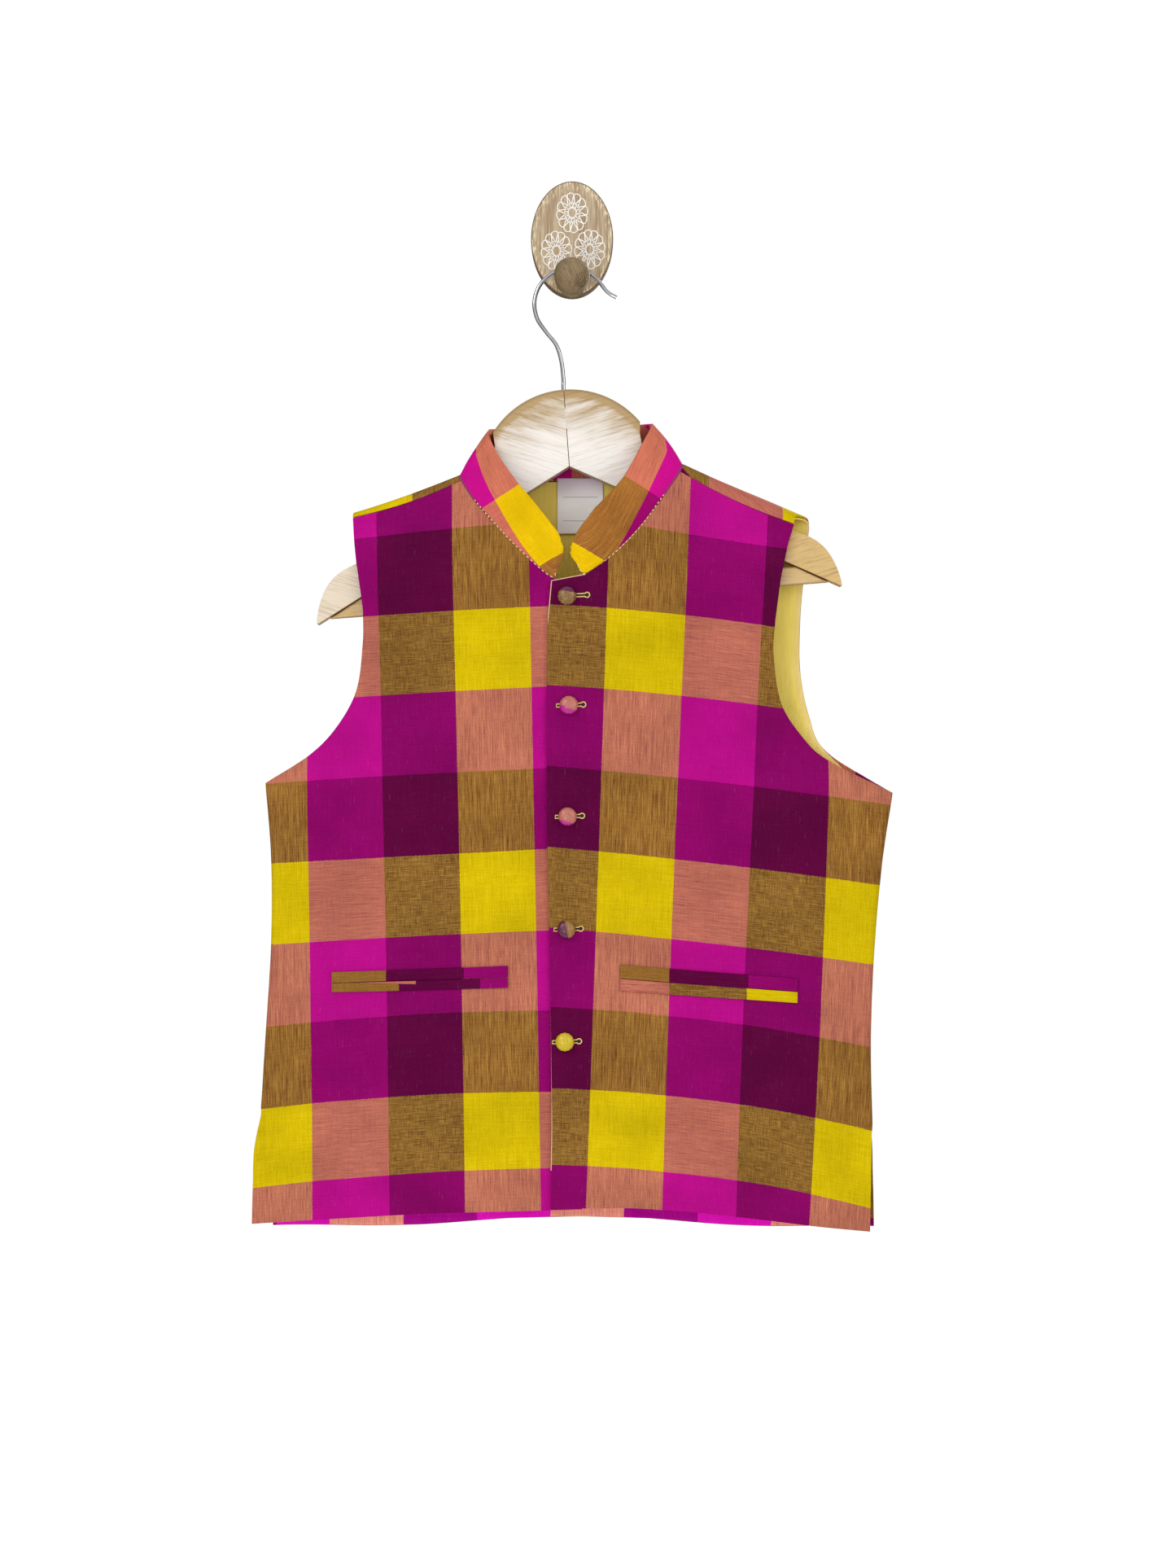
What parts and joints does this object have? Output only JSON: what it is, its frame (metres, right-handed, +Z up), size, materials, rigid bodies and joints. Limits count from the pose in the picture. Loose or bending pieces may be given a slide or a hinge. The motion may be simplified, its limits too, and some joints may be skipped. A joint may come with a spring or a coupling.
{
  "type": "bandi waistcoat on hanger and wall knob",
  "caption": "Child's sleeveless stand-collar bandi waistcoat in handloom check, buttoned up on a wooden hanger that hangs by its wire hook on a turned wall knob.",
  "frame": {"origin": "centre of the wall plate's back face, which lies on the wall", "axes": "+Y out of the wall plate's back, into the wall; +Z up along the hanging jacket; +X to the viewer's right as the viewer faces the jacket's front"},
  "size_m": [0.3744, 0.0636, 0.6166],
  "materials": {
    "handloom_check": "slubby handloom cotton in large magenta, dark purple and yellow checks",
    "lining_cloth": "plain pale olive yellow lining cloth",
    "label_satin": "plain white satin tab",
    "button_cloth": "domed buttons covered in the check cloth",
    "whitewashed_wood": "whitewashed softwood, grain showing through",
    "bright_wire": "bright plated wire",
    "brown_wood": "waxed brown wood"
  },
  "bodies": {
    "root": {"front_right": "handloom_check", "front_left": "handloom_check", "back_panel": "handloom_check", "back_lining": "lining_cloth", "back_hem_facing": "handloom_check", "collar": "handloom_check", "neck_label": "label_satin", "pocket_right_upper": "handloom_check", "pocket_right_lower": "handloom_check", "pocket_left_upper": "handloom_check", "pocket_left_lower": "handloom_check", "button_1": "button_cloth", "button_2": "button_cloth", "button_3": "button_cloth", "button_4": "button_cloth", "button_5": "button_cloth", "hanger_left_half": "whitewashed_wood", "hanger_right_half": "whitewashed_wood", "hanger_bar": "whitewashed_wood", "hanger_hook": "bright_wire", "wall_knob": "brown_wood", "wall_plate": "brown_wood"}
  },
  "joints": []
}
